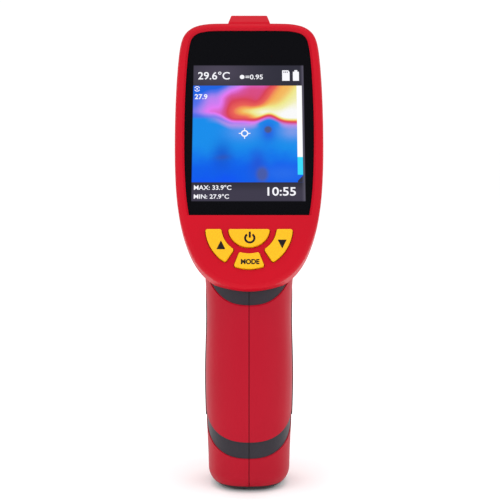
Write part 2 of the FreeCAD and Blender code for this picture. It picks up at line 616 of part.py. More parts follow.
def make_port_cover():
    lid = box(-FLAP_X, FLAP_X, FLAP_N0, FLAP_N1, FLAP_TOP - FLAP_T, FLAP_TOP)
    lid = lid.makeFillet(0.5, [e for e in lid.Edges if e.BoundBox.ZMin > FLAP_TOP - 0.01 and e.BoundBox.YLength > 1])
    pivot = FLAP_TOP - FLAP_T / 2
    barrel = crossbar(FLAP_T / 2, FLAP_N1, pivot, FLAP_X)
    trunnions = crossbar(TRUNNION_R, FLAP_N1, pivot, TRUNNION_X)
    plug = box(-3.8, 3.8, FLAP_N0 + 1.2, FLAP_N0 + 9.0, FLAP_TOP - FLAP_T - 1.4, FLAP_TOP - FLAP_T)
    pull = box(-2.5, 2.5, FLAP_N0, FLAP_N0 + 1.0, FLAP_TOP, FLAP_TOP + 0.6)
    return {"port_cover": placed(fused([lid, barrel, trunnions, plug, pull]), FACE)}


def port_opening():
    """The slot under the port cover, and the bearings for its trunnions."""
    pivot = FLAP_TOP - FLAP_T / 2
    slot = box(-FLAP_X - FREE, FLAP_X + FREE, FLAP_N0 - FREE, FLAP_N1, FACE_TOP - 5, FLAP_TOP + 1)
    swing = crossbar(FLAP_T / 2 + FREE, FLAP_N1, pivot, FLAP_X + FREE)
    bearing = crossbar(TRUNNION_R + FIT, FLAP_N1, pivot, TRUNNION_X + FREE)
    return placed(fused([slot, swing, bearing]), FACE)


# ---------------------------------------------------------------- nose, in the row frame
TRACK_Y = NOSE_Y + NOSE_OUT - 3.05      # floor of the cover's track
COVER_Z0 = LENS_Z - APERTURE_R - 1.9 - COVER_H


def cover_body(grow, travel):
    """The sliding cover, or with grow the track that it runs in."""
    z0, z1 = COVER_Z0 - grow, COVER_Z0 + COVER_H + travel + grow
    y0 = TRACK_Y + FREE - grow
    wide = COVER_W + COVER_TONGUE + grow
    tongue = box(-wide, wide, y0, TRACK_Y + FREE + TONGUE_T + grow, z0, z1)
    top = TRACK_Y + FREE + COVER_T + (10 if grow else 0)
    return tongue.fuse(box(-COVER_W - grow, COVER_W + grow, y0, top, z0, z1))


def sensor_posts():
    return [(sx * NOSE_W * 0.385, NOSE_Z + dz) for sx in (-1, 1) for dz in (-12.5, 19.0)]


def make_nose():
    front = NOSE_Y + NOSE_OUT
    outer = prism(nose_loop(0.3), NOSE_Y + GAP, front)
    outer = outer.makeFillet(2.4, edges_at(outer, front))
    spigot = prism(nose_loop(WALL + 0.4), NOSE_Y - SPIGOT, NOSE_Y + 1)
    ridge = prism(nose_loop(WALL - 0.5), NOSE_Y - 3.6, NOSE_Y - 2.2)
    hollow = prism(nose_loop(WALL + 0.4 + SPIGOT_T), NOSE_Y - SPIGOT - 1, TRACK_Y - NOSE_WALL)
    body = fused([outer, spigot, ridge]).cut(hollow)
    back = SENSOR_Y + 1.6
    posts = [cylinder(2.5, (x, back, z), Y, TRACK_Y - 1 - back) for x, z in sensor_posts()]
    body = body.fuse(fused(posts))
    cuts = [cover_body(FREE, COVER_TRAVEL)]
    cuts += [cylinder(APERTURE_R, (LENS_X, TRACK_Y - 4, LENS_Z), Y, 10)]
    cuts += [cylinder(CAM_R - 0.5, (CAM_X, TRACK_Y - 4, LENS_Z), Y, 10)]
    cuts += [cylinder(CAM_R + 0.1, (CAM_X, TRACK_Y - 1.3, LENS_Z), Y, 10)]
    cuts += [cylinder(1.0, (x, back - 1, z), Y, 7) for x, z in sensor_posts()]
    return body.cut(fused(cuts))


def nose_groove():
    """The shells' groove for the nose's ridge."""
    return prism(nose_loop(WALL - 0.9), NOSE_Y - 3.8, NOSE_Y - 2.0)


def make_optics():
    wall = TRACK_Y - NOSE_WALL
    nodes = {"nose_bezel": make_nose()}
    cover = cover_body(0, 0)
    y = TRACK_Y + FREE + COVER_T
    ribs = [box(-9, 9, y, y + 0.7, COVER_Z0 + h, COVER_Z0 + h + 1.2) for h in (15.0, 17.6, 20.2)]
    nodes["lens_cover"] = fused([cover] + ribs)
    disc = cylinder(LENS_R, (LENS_X, wall - 2.2, LENS_Z), Y, 2.6)
    ball = Part.makeSphere(34.0, Vector(LENS_X, wall + 1.6 - 34.0, LENS_Z))
    dome = ball.common(cylinder(LENS_R - 0.1, (LENS_X, wall, LENS_Z), Y, 3))
    nodes["ir_lens"] = fused([disc, dome])
    ring = tube(APERTURE_R - 0.1, LENS_R + 0.1, (LENS_X, wall + 0.1, LENS_Z), Y, NOSE_WALL - 0.2)
    nodes["lens_ring"] = ring.makeFillet(0.4, edges_at(ring, wall + NOSE_WALL - 0.1))
    face = SENSOR_Y + 1.6
    barrel = tube(BARREL_R, LENS_R + 0.1, (LENS_X, face + 1.8, LENS_Z), Y, wall - 0.15 - face - 1.8)
    seat = tube(LENS_R + 0.5, LENS_R - 1.2, (LENS_X, wall - 3.6, LENS_Z), Y, 1.3)
    flange = box(LENS_X - 12, LENS_X + 12, face + 0.02, face + 2.0, LENS_Z - 12, LENS_Z + 12)
    flange = flange.cut(cylinder(LENS_R + 0.1, (LENS_X, face - 1, LENS_Z), Y, 5))
    nodes["lens_barrel"] = fused([barrel, seat, flange])
    can = box(LENS_X - 5.5, LENS_X + 5.5, face, face + 2.6, LENS_Z - 5.5, LENS_Z + 5.5)
    glass = box(LENS_X - 3.6, LENS_X + 3.6, face + 2.6, face + 3.2, LENS_Z - 3.6, LENS_Z + 3.6)
    nodes["detector"] = can.fuse(glass)
    board = box(-NOSE_W * 0.43, NOSE_W * 0.43, SENSOR_Y, face, NOSE_Z - 16.5, NOSE_Z + 23.0)
    board = board.cut(fused([cylinder(1.2, (x, SENSOR_Y - 1, z), Y, 5) for x, z in sensor_posts()]))
    nodes["sensor_board"] = board
    screws = []
    for x, z in sensor_posts():
        one = placed(screw(1.9, 1.3, 0.94, 6.0), Placement(Vector(0, 0, 0), Rotation(X, 90)))
        one.translate(Vector(x, SENSOR_Y, z))
        screws.append(one)
    nodes["sensor_screws"] = Part.makeCompound(screws)
    spread = CAM_X - LENS_X - BARREL_R
    base = box(CAM_X - 1.2, CAM_X + 6.4, face, face + 5.0, LENS_Z - 3.8, LENS_Z + 3.8)
    stalk = cylinder(min(2.9, spread - 0.5), (CAM_X, face + 4, LENS_Z), Y, wall - 0.3 - face - 4)
    nodes["camera_module"] = base.fuse(stalk)
    nodes["camera_window"] = cylinder(CAM_R, (CAM_X, TRACK_Y - 1.25, LENS_Z), Y, 1.1)
    return nodes


# ---------------------------------------------------------------- bands and base
def ring_of_grip(inset0, inset1):
    return grip_volume(inset0).cut(grip_volume(inset1))


def band_layer(name, grow):
    """The layer of the grip that a band takes; grow widens it into its groove."""
    if name == "upper":
        low = NECK_Z - BAND_H / math.cos(math.radians(NECK_SLOPE))
        return below_neck(grow).common(layer(NECK_Y, low, BAND_RISE, -grow, BIG))
    return layer(-20.0, LOW_BAND_Z, LOW_BAND_SLOPE, -grow, BAND_H + grow)


def band_end():
    """In front the bands stop at the trigger's surround."""
    return placed(box(-TRIGGER_X - 2.4, TRIGGER_X + 2.4, 0, BIG, TRIGGER_W1 - 30, BIG), GRIP)


def make_bands(head):
    nodes = {}
    ring = ring_of_grip(BAND_STEP, BAND_STEP + BAND_T)
    door = placed(door_region(FREE + 0.5), GRIP)
    for name in ("upper", "lower"):
        band = ring.common(band_layer(name, -0.1)).cut(door)
        if name == "upper":
            band = band.cut(band_end()).cut(head)
        for side, sign in (("left", -1), ("right", 1)):
            x0, x1 = sorted((sign * SEAM, sign * BIG))
            half = band.common(box(x0, x1, -BIG, BIG, -BIG, BIG))
            biggest = max(half.Solids, key=lambda solid: solid.Volume)
            nodes[f"{name}_band_{side}"] = biggest
    return nodes


BASE_SCREWS = [(-7.0, -6.6), (7.0, 6.6)]
FLOOR_BOSS_Z = FLOOR_Z + 6.0


def make_base(grip):
    cap = grip.common(box(-BIG, BIG, -BIG, BIG, 0, BASE_T))
    holes = [cylinder(INSERT_R + 0.1, (0, 0, -1), Z, 5)]
    for x, y in BASE_SCREWS:
        holes += [cylinder(1.2, (x, y, -1), Z, 5), cylinder(2.2, (x, y, -1), Z, 2.1)]
    insert = tube(INSERT_R, SOCKET_R, (0, 0, 0), Z, SOCKET_L)
    rings = [tube(INSERT_R + 0.1, INSERT_R - 0.5, (0, 0, h), Z, 0.8) for h in (4.2, 6.8)]
    screws = []
    for x, y in BASE_SCREWS:
        one = placed(screw(2.0, 0.95, 0.94, 7.0), Placement(Vector(0, 0, 0), Rotation(X, 180)))
        one.translate(Vector(x, y, 1.05))
        screws.append(one)
    return {
        "base_cap": cap.cut(fused(holes)),
        "tripod_insert": insert.cut(fused(rings)),
        "base_screws": Part.makeCompound(screws),
    }


# ---------------------------------------------------------------- shells
SCREW_PLACES = [(FACE_Y + 40.5, FACE_Z + 33.0), (FACE_Y + 41.0, FACE_Z - 31.5), (FACE_Y - 0.5, NECK_Z + 19.5),
                (-2.0, 15.4)]
BOSS_R, SCREW_SHANK, SCREW_HEAD, SEAT_X = 3.3, 1.1, 2.1, 8.0


def make_shells(grip, head, hump_shape):
    outer = head.fuse(grip)
    tail = placed(box(-BIG, BIG, BEZEL_DEPTH, BIG, -BIG, BIG), FACE)
    outer = outer.fuse(hump_shape.common(tail))
    outer = outer.common(box(-BIG, BIG, -BIG, BIG, BASE_T + GAP, BIG))
    inner_grip = grip_volume(WALL).common(below_neck(LIP_H + 3)).common(box(-BIG, BIG, -BIG, BIG, FLOOR_Z, BIG))
    inner = head_volume(WALL).fuse(inner_grip)
    body = outer.cut(inner)

    adds = [cylinder(INSERT_R + 2.2, (0, 0, FLOOR_Z - 1), Z, SOCKET_L + 2.5 - FLOOR_Z)]
    adds += [cylinder(2.6, (x, y, FLOOR_Z - 1), Z, FLOOR_BOSS_Z - FLOOR_Z + 1) for x, y in BASE_SCREWS]
    adds += [crossbar(BOSS_R, y, z, BIG) for y, z in SCREW_PLACES]
    low = HOLDER_W0 - GAP - 1.8
    grip_adds = [box(-BIG, BIG, -BIG, HINGE_Y, low, HOLDER_W0 - GAP)]
    for w in (HOLDER_W0 + 14.0, HOLDER_W0 + 44.0):
        grip_adds.append(box(-BIG, BIG, -BIG, DOOR_SIDE - 2, w, w + 1.5).cut(holder_envelope(GAP)))
    w = TRIGGER_W1 - 18.0 - GAP
    grip_adds.append(box(-BIG, BIG, 4.4, 11.6, w - 1.8, w))
    inside_grip = fused(grip_adds).common(placed(grip_volume(WALL - 0.3), GRIP.inverse()))
    cheeks = []
    for sign in (-1, 1):
        x0, x1 = sorted((sign * (TRIGGER_X + FREE), sign * (TRIGGER_X + FREE + CHEEK_T)))
        cheeks.append(box(x0, x1, 13.0, 34.0, HOLDER_TOP + 1.2, TRIGGER_W1 + 4.5))
    lugs = crossbar(KNUCKLE_R, HINGE_Y, DOOR_W0, LUG_X)
    adds = fused(adds).fuse(placed(inside_grip, GRIP)).fuse(placed(fused(cheeks), GRIP))
    body = body.fuse(adds.common(outer))

    floor_z = TRIGGER_W1 - 18.0
    grip_cuts = [door_region(FREE).cut(placed(grip_volume(WALL + 0.5), GRIP.inverse())), trigger_opening(),
                 crossbar(TRIGGER_PIN_R + 0.02, TRIGGER_Y, TRIGGER_W1, TRIGGER_X + FREE + CHEEK_T - 0.2),
                 crossbar(KNUCKLE_R + FREE, HINGE_Y, DOOR_W0, KNUCKLE_X + FREE)]
    cuts = [placed(fused(grip_cuts), GRIP), port_opening(), nose_groove()]
    cuts += [ring_of_grip(-1, BAND_STEP + BAND_T + GAP).common(band_layer(name, 0)).cut(head) for name in
             ("upper", "lower")]
    cuts.append(cylinder(INSERT_R + 0.06, (0, 0, 0), Z, SOCKET_L + 0.2))
    cuts += [cylinder(1.0, (x, y, 0), Z, 9.4) for x, y in BASE_SCREWS]
    for y, z in SCREW_PLACES:
        cuts.append(cylinder(SCREW_SHANK + FIT, (-SEAT_X - 1, y, z), X, SEAT_X + 1 + 9.0))
        cuts.append(cylinder(SCREW_HEAD + 0.3, (-BIG, y, z), X, BIG - SEAT_X))
    for cut in cuts:
        body = body.cut(cut)
    body = body.fuse(placed(lugs, GRIP).cut(placed(crossbar(BIG, 0, 0, KNUCKLE_X + FREE), GRIP)))
    body = body.cut(placed(crossbar(DOOR_PIN_R + 0.02, HINGE_Y, DOOR_W0, LUG_X - 0.1), GRIP))
    nodes = {}
    for side, sign in (("left", -1), ("right", 1)):
        x0, x1 = sorted((sign * SEAM, sign * BIG))
        nodes[f"{side}_shell"] = body.common(box(x0, x1, -BIG, BIG, -BIG, BIG))
    screws = []
    for y, z in SCREW_PLACES:
        one = placed(screw(SCREW_HEAD, 1.6, SCREW_SHANK, SEAT_X + 8.0), Placement(Vector(0, 0, 0), Rotation(Y, -90)))
        one.translate(Vector(-SEAT_X, y, z))
        screws.append(one)
    nodes["housing_screws"] = Part.makeCompound(screws)
    return nodes


def main():
    os.makedirs("parts", exist_ok=True)
    nodes = {}
    for maker in (make_face, make_boards, make_batteries, make_door, make_trigger, make_port_cover, make_optics):
        nodes.update(maker())
    grip, head = grip_outer(), head_volume(0)
    nodes.update(make_bands(head))
    nodes.update(make_base(grip))
    nodes.update(make_shells(grip, head, hump()))
    for name, shape in nodes.items():
        export(shape, name)


main()
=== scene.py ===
"""A pistol-grip thermal camera: its screen picture and readings, key marks, finishes, floor, lights and camera."""
import json
import math

import bpy
import numpy as np
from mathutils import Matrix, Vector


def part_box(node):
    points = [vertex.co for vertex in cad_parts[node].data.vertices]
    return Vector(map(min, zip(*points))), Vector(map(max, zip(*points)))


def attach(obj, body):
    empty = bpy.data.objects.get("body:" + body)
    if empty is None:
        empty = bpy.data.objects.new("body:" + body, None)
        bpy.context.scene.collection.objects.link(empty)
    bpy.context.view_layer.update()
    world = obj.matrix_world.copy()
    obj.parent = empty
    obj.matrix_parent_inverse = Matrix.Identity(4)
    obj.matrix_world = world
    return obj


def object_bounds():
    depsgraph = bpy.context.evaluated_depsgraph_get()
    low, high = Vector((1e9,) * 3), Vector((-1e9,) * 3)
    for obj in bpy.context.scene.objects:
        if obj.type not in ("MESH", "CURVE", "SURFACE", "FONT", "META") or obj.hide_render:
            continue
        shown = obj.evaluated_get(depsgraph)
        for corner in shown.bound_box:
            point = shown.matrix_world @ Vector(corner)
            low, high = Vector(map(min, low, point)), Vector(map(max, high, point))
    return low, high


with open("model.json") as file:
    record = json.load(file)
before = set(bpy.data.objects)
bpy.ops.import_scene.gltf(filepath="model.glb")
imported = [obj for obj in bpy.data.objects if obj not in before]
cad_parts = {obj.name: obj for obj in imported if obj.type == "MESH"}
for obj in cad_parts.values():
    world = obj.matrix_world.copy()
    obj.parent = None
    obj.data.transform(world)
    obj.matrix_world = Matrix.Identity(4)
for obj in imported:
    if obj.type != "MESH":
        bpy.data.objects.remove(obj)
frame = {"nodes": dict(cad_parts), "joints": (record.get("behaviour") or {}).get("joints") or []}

cad_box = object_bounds()
MM = 0.001

# The face frame, from the power key's travel (straight into the face) and the display window.
INTO = np.array(next(j for j in frame["joints"] if j["name"] == "power_key_press")["axis"], float)
ACROSS = np.array([1.0, 0.0, 0.0])
UP = np.array([0.0, -INTO[2], INTO[1]])


def corners(node):
    """The vertices of a CAD node, as an (n, 3) array."""
    mesh = frame["nodes"][node].data
    flat = np.empty(len(mesh.vertices) * 3)
    mesh.vertices.foreach_get("co", flat)
    return flat.reshape(-1, 3)


def span(node, direction):
    """How far a node reaches along a direction: its lowest and highest value."""
    along = corners(node) @ direction
    return along.min(), along.max()


GLASS = span("display_window", INTO)[0]             # the window's outer surface
MID_UP = span("display_window", UP)[0] + 38.55 * MM  # the middle of the face, up the window from its straight edge


def on_face(across, up, depth):
    """Points of the face frame carried into the object's frame. Lengths are in millimetres, depth in metres."""
    across, up = np.asarray(across, float) * MM, np.asarray(up, float) * MM + MID_UP
    return across[..., None] * ACROSS + up[..., None] * UP + depth * INTO


# ------------------------------------------------------------------------------------------------ shader maths
class Wire:
    """One output of a material's nodes. Arithmetic on it adds Math nodes."""

    def __init__(self, tree, socket=None):
        self.tree, self.socket = tree, socket

    def node(self, kind, settings=(), sockets=(), out=0):
        """Adds a node of a kind: its settings first, then the value or wire of each socket."""
        made = self.tree.nodes.new("ShaderNode" + kind)
        for name, value in dict(settings).items():
            if name == "stops":
                stops = made.color_ramp.elements
                for place, colour in value[1:]:
                    stops.new(place).color = (*colour, 1)
                stops[0].position, stops[0].color = value[0][0], (*value[0][1], 1)
                stops.remove(stops[-1])
            else:
                setattr(made, name, value)
        for name, value in dict(sockets).items():
            if isinstance(value, Wire):
                self.tree.links.new(value.socket, made.inputs[name])
            else:
                made.inputs[name].default_value = value
        return Wire(self.tree, made.outputs[out])

    def math(self, operation, *terms):
        """A Math node of the terms given; self isn't one of them unless it is named."""
        return self.node("Math", {"operation": operation}, dict(enumerate(terms)))

    def __add__(self, other):
        return self.math("ADD", self, other)

    def __sub__(self, other):
        return self.math("SUBTRACT", self, other)

    def __rsub__(self, other):
        return self.math("SUBTRACT", other, self)

    def __mul__(self, other):
        return self.math("MULTIPLY", self, other)

    def __truediv__(self, other):
        return self.math("DIVIDE", self, other)

    def __pow__(self, other):
        return self.math("POWER", self, other)

    __radd__, __rmul__ = __add__, __mul__

    def exp(self):
        return self.math("EXPONENT", self)


def step(value, low, high):
    """0 where value is at low, 1 where it is at high, smooth between; high may be the smaller."""
    ramp = value.node("MapRange", {"interpolation_type": "SMOOTHSTEP"},
                      {0: value, 1: min(low, high), 2: max(low, high)})
    return 1 - ramp if low > high else ramp


def hill(u, v, at, wide, tall):
    """A soft round hill: exp(-(du / wide)^2 - (dv / tall)^2)."""
    du, dv = (u - at[0]) / wide, (v - at[1]) / tall
    return ((du * du + dv * dv) * -1.0).exp()


def srgb(red, green, blue):
    """A display colour, 0 to 255, as the linear colour that the shader takes."""
    shares = (red / 255, green / 255, blue / 255)
    return tuple(c / 12.92 if c <= 0.04045 else ((c + 0.055) / 1.055) ** 2.4 for c in shares)


def blend(factor, first, second):
    """The colour that goes from first to second with the factor."""
    first, second = (c if isinstance(c, Wire) else (*c, 1) for c in (first, second))
    return factor.node("Mix", {"data_type": "RGBA"}, {0: factor, 6: first, 7: second}, out=2)


def finish(name, **fixed):
    """A new material with fixed shader values. Returns it, its shader and a wire with the place on the object."""
    made = bpy.data.materials.new(name)
    made.use_nodes = True
    shader = made.node_tree.nodes["Principled BSDF"]
    for socket, value in fixed.items():
        shader.inputs[socket.replace("_", " ")].default_value = value
    place = Wire(made.node_tree).node("TexCoord", out="Object")
    return made, shader, place


def feed(shader, **wires):
    """Links wires to the shader's sockets of the same names."""
    for socket, wire in wires.items():
        wire.tree.links.new(wire.socket, shader.inputs[socket.replace("_", " ")])


def noise(place, scale, detail=2.0, roughness=0.5):
    """Cloudy noise, 0 to 1; scale is in cells a metre."""
    return place.node("TexNoise", (), {"Vector": place, "Scale": scale, "Detail": detail, "Roughness": roughness})


def cells(place, scale, feature="F1"):
    """Distance to the nearest cell point or, with DISTANCE_TO_EDGE, to the nearest cell wall."""
    return place.node("TexVoronoi", {"feature": feature}, {"Vector": place, "Scale": scale}, out="Distance")


def bump(height, metres, strength=1.0):
    """The normal of a surface raised by height, 0 to 1, over the distance given."""
    return height.node("Bump", (), {"Height": height, "Distance": metres, "Strength": strength}, out="Normal")


def dress(material, *nodes):
    """Puts the material on every slot of the CAD nodes."""
    for node in nodes:
        for slot in frame["nodes"][node].material_slots:
            slot.material = material


# ------------------------------------------------------------------------------------------------ new pieces
def mesh_piece(name, points, faces, material, body):
    """A piece from its points (n, 3) and faces, riding on a body of the object."""
    mesh = bpy.data.meshes.new(name)
    mesh.from_pydata(points.tolist(), [], [tuple(int(i) for i in f) for f in faces])
    mesh.update()
    return placed_piece(name, mesh, material, body)


def placed_piece(name, mesh, material, body):
    """An object from a mesh with one material, riding on a body of the object."""
    mesh.materials.clear()
    mesh.materials.append(material)
    piece = bpy.data.objects.new(name, mesh)
    bpy.context.scene.collection.objects.link(piece)
    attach(piece, body)
    return piece


def grid_faces(rows, columns):
    """Four-sided faces of a grid of rows by columns points."""
    low = (np.arange(rows - 1)[:, None] * columns + np.arange(columns - 1)).ravel()
    return np.stack([low, low + 1, low + columns + 1, low + columns], axis=1)


def ring(centre, inner, outer, start=0.0, end=360.0, steps=48):
    """A flat stretch of ring: radius goes from inner to outer and the angle from start to end, in degrees.

    across = centre + r cos(t), up = centre + r sin(t). Returns its (across, up) points and its faces.
    """
    r = np.array([inner, outer])[:, None]
    t = np.radians(np.linspace(start, end, steps))[None, :]
    points = np.stack([centre[0] + r * np.cos(t), centre[1] + r * np.sin(t)], axis=-1).reshape(-1, 2)
    return points, grid_faces(2, steps)[:, ::-1]


def outline(*points):
    """A flat piece with the corners given, anticlockwise. Returns its (across, up) points and its one face."""
    return np.array(points, float), [list(range(len(points)))]


def rectangle(left, low, width, height):
    """A flat rectangle. Returns its (across, up) points and its one face."""
    return outline((left, low), (left + width, low), (left + width, low + height), (left, low + height))


def flat_marks(name, parts, depth, material, body):
    """One flat piece on the face from several parts, each its (across, up) points and faces."""
    points, faces, base = [], [], 0
    for flat, polygons in parts:
        points.append(on_face(flat[:, 0], flat[:, 1], depth))
        faces += [[int(i) + base for i in polygon] for polygon in polygons]
        base += len(flat)
    return mesh_piece(name, np.concatenate(points), faces, material, body)


def lettering(name, text, left, low, width, height, weight, depth, material, body):
    """Text on the face, its letters stretched to fill the box from (left, low), width by height millimetres."""
    curve = bpy.data.curves.new(name, "FONT")
    curve.body, curve.offset, curve.resolution_u = text, weight, 4
    drawn = bpy.data.objects.new(name, curve)
    mesh = bpy.data.meshes.new_from_object(drawn)
    bpy.data.objects.remove(drawn)
    flat = np.empty(len(mesh.vertices) * 3)
    mesh.vertices.foreach_get("co", flat)
    flat = flat.reshape(-1, 3)[:, :2]
    unit = (flat - flat.min(0)) / (flat.max(0) - flat.min(0))
    placed = on_face(left + unit[:, 0] * width, low + unit[:, 1] * height, depth)
    mesh.vertices.foreach_set("co", placed.ravel())
    mesh.update()
    mesh.name = name
    return placed_piece(name, mesh, material, body)


# ------------------------------------------------------------------------------------------------ screen
def wave(u):
    """The lower edge of the warm area: a level line with a swell and a rise to the left."""
    swell = (u - 8.8) / 4.6
    return 4.3 + 2.9 * (swell * swell * -1.0).exp() + 3.2 * step(u, -7.0, -16.0)


def warm_colours(place, u, v, edge):
    """The warm area: violet and pink at the left, crimson, orange, yellow and white to the right."""
    drift = noise(place, 95.0, 1.0) * 3.0 - 1.5
    heat = 0.05 + 0.19 * step(u + drift, -25.0, -16.0) + 0.08 * step(v, 17.0, 9.0)
    heat = heat + 0.21 * step(u + 0.15 * v + drift, -12.5, -4.5) + 0.05 * hill(u, v, (-13.5, 9.5), 5.0, 3.5)
    heat = heat + 0.14 * hill(u, v, (-2.5, 12.0), 6.0, 4.5) + 0.20 * hill(u, v, (3.4, 10.6), 7.5, 2.3)
    heat = heat + 0.29 * step(u + 0.55 * (10.5 - v) + drift * 0.6, -1.0, 9.0)
    heat = heat + 0.19 * step(u - 0.75 * (v - 9.0) + drift * 0.5, 6.0, 17.0)
    heat = heat - 0.30 * step(v, 16.0, 24.5) * step(u, 2.0, -12.0) - 0.07 * step(v, 20.5, 24.0) * step(u, 14.0, 6.0)
    heat = heat * (0.40 + 0.60 * step(edge, 0.2, 3.4))
    stops = [(0.0, srgb(28, 102, 232)), (0.10, srgb(92, 116, 240)), (0.20, srgb(170, 132, 244)),
             (0.31, srgb(232, 124, 248)), (0.41, srgb(220, 84, 160)), (0.50, srgb(222, 66, 84)),
             (0.62, srgb(240, 100, 84)), (0.73, srgb(250, 180, 86)), (0.82, srgb(244, 236, 140)),
             (0.92, srgb(248, 246, 188)), (1.0, srgb(255, 255, 252))]
    return heat.node("ValToRGB", {"stops": stops}, {0: heat})


def cool_colours(place, u, v, edge):
    """The cool area: clear blue, darker towards the foot, with dark hollows and two grey cores."""
    drift = noise(place, 120.0, 2.0)
    colour = blend(step(v + 8.0 * drift, 0.0, -14.0), srgb(18, 144, 240), srgb(4, 96, 240))
    colour = blend(step(v + 10.0 * drift, -12.0, -21.0) * step(u, 2.0, -10.0), colour, srgb(4, 84, 250))
    colour = blend(0.75 * hill(u, v, (-11.5, -10.5), 4.0, 6.5), colour, srgb(14, 80, 206))
    colour = blend(0.55 * hill(u - 0.6 * v, v, (-4.6, -11.4), 3.0, 1.2), colour, srgb(52, 84, 176))
    colour = blend(0.85 * hill(u, v, (8.4, 0.6), 3.4, 4.8), colour, srgb(28, 88, 226))
    colour = blend(0.9 * hill(u, v, (3.8, -16.0), 3.4, 7.5), colour, srgb(30, 84, 216))
    colour = blend(0.8 * hill(u, v, (15.0, -19.0), 10.0, 4.0), colour, srgb(40, 112, 240))
    colour = blend(0.95 * step(hill(u, v, (5.7, -19.4), 2.7, 3.6), 0.1, 0.8), colour, srgb(74, 92, 166))
    colour = blend(0.95 * step(hill(u, v, (8.3, 1.8), 1.9, 1.9), 0.25, 0.75), colour, srgb(78, 86, 128))
    colour = blend(0.6 * hill(u, v, (-3.0, 0.8), 6.0, 3.6), colour, srgb(112, 156, 244))
    colour = blend(0.8 * hill(u, v, (19.0, 1.0), 5.0, 3.4), colour, srgb(140, 160, 236))
    fringe = step(edge, -3.2, 0.4) * step(hill(u, v, (8.6, 4.0), 4.5, 6.0), 0.5, 0.05) * step(u, -20.0, -9.0)
    return blend(0.85 * fringe, colour, srgb(206, 150, 236))


def screen_picture(place, u, v):
    """Everything that glows behind the window: a dark header with a painted reflection lighter at its upper left, a
    dark foot, the heat picture and its scale bar.
    """
    grain = noise(place, 2600.0, 0.0)
    edge = v - wave(u)
    picture = blend(step(edge, -0.9, 0.9), cool_colours(place, u, v, edge), warm_colours(place, u, v, edge))
    picture = blend(grain * 0.10, picture, srgb(20, 40, 90))
    # The soft lighter hill at the header's upper left is a painted reflection of a soft box on the glass, added to the
    # screen's glow.
    panel_with_painted_reflection = blend(hill(u, v, (-14.0, 30.0), 15.0, 8.0), srgb(47, 46, 58), srgb(74, 68, 84))
    panel_with_painted_reflection = blend(step(v, -23.0, -28.0), panel_with_painted_reflection, srgb(62, 58, 74))
    panel_with_painted_reflection = blend(step(u, 22.4, 24.4), panel_with_painted_reflection, srgb(92, 88, 104))
    inside = step(v, -23.25, -23.05) * step(v, 23.3, 23.1) * step(u, 23.4, 23.2)
    chamfer = step(u - (v + 21.9) * 0.9, 21.6, 21.4)
    strip = step(u, 20.9, 21.1) * inside
    colour = blend(inside * (1 - strip * (1 - chamfer)), panel_with_painted_reflection, picture)
    bar = blend(step(v, -11.1, -11.4), srgb(255, 255, 255), srgb(58, 222, 252))
    return blend(strip * step(v, -19.8, -19.4), colour, bar)


def make_window():
    """The display window: gloss black, with the lit picture showing through its clear middle."""
    made, shader, place = finish("window_black_gloss", Roughness=0.05, Specular_IOR_Level=0.35, Emission_Strength=1.0)
    axes = [place.node("VectorMath", {"operation": "DOT_PRODUCT"}, {0: place, 1: tuple(a / MM)}, out="Value")
            for a in (ACROSS, UP)]
    u, v = axes[0], axes[1] - MID_UP / MM
    lit = (step(u, -24.9, -24.5) * step(u, 24.35, 23.9)) * (step(v, -32.2, -31.5) * step(v, 33.5, 32.9))
    dust = step(noise(place, 900.0, 3.0), 0.62, 0.9)
    feed(shader, Emission_Color=blend(lit, (0, 0, 0), screen_picture(place, u, v)),
         Base_Color=blend(dust * 0.2, srgb(11, 11, 14), srgb(40, 40, 46)),
         Roughness=0.045 + 0.05 * dust)
    return made


def make_readings(glow, dim):
    """The figures, icons and aiming mark that the screen draws over the picture."""
    depth = GLASS - 0.03 * MM
    writing = [("reading_now", "29.6°C", -22.7, 26.2, 14.1, 3.95, 0.012),
               ("reading_factor", "=0.95", -1.6, 26.3, 7.7, 2.4, 0.014),
               ("reading_corner", "27.9", -24.0, 16.5, 5.6, 2.5, 0.02),
               ("reading_high", "MAX: 33.9°C", -23.7, -26.7, 16.1, 2.25, 0.016),
               ("reading_low", "MIN: 27.9°C", -23.7, -30.8, 15.1, 2.15, 0.016),
               ("reading_clock", "10:55", 7.9, -29.4, 12.2, 4.0, 0.014)]
    for name, text, left, low, width, height, weight in writing:
        lettering(name, text, left, low, width, height, weight, depth, glow, "housing")
    flat_marks("reading_dot", [ring((-3.1, 27.5), 0.0, 1.05, steps=28)], depth, glow, "housing")
    aim, tick = (-1.96, -0.04), rectangle(1.5, -0.2, 1.05, 0.4)
    cross = [ring(aim, 1.05, 1.62)]
    for c, s in ((1, 0), (0, 1), (-1, 0), (0, -1)):
        cross.append((tick[0] @ np.array([(c, s), (-s, c)]) + aim, tick[1]))
    flat_marks("aiming_mark", cross, depth, glow, "housing")
    card = [outline((14.7, 25.6), (18.0, 25.6), (18.0, 29.9), (17.4, 30.8), (14.7, 30.8))]
    flat_marks("card_mark", card, depth, glow, "housing")
    flat_marks("card_mark_slots", [rectangle(15.3 + 0.75 * i, 29.5, 0.38, 0.75) for i in range(3)],
               depth - 0.02 * MM, dim, "housing")
    cell = [rectangle(19.45, 25.6, 2.7, 4.5), rectangle(20.15, 30.1, 1.3, 0.8)]
    flat_marks("cell_mark", cell, depth, glow, "housing")
    eye = (-23.0, 21.6)
    corner = [ring(eye, 0.95, 1.3, 20, 160, 16), ring(eye, 0.95, 1.3, 200, 340, 16), ring(eye, 0.0, 0.4, steps=16)]
    flat_marks("corner_mark", corner, depth, glow, "housing")


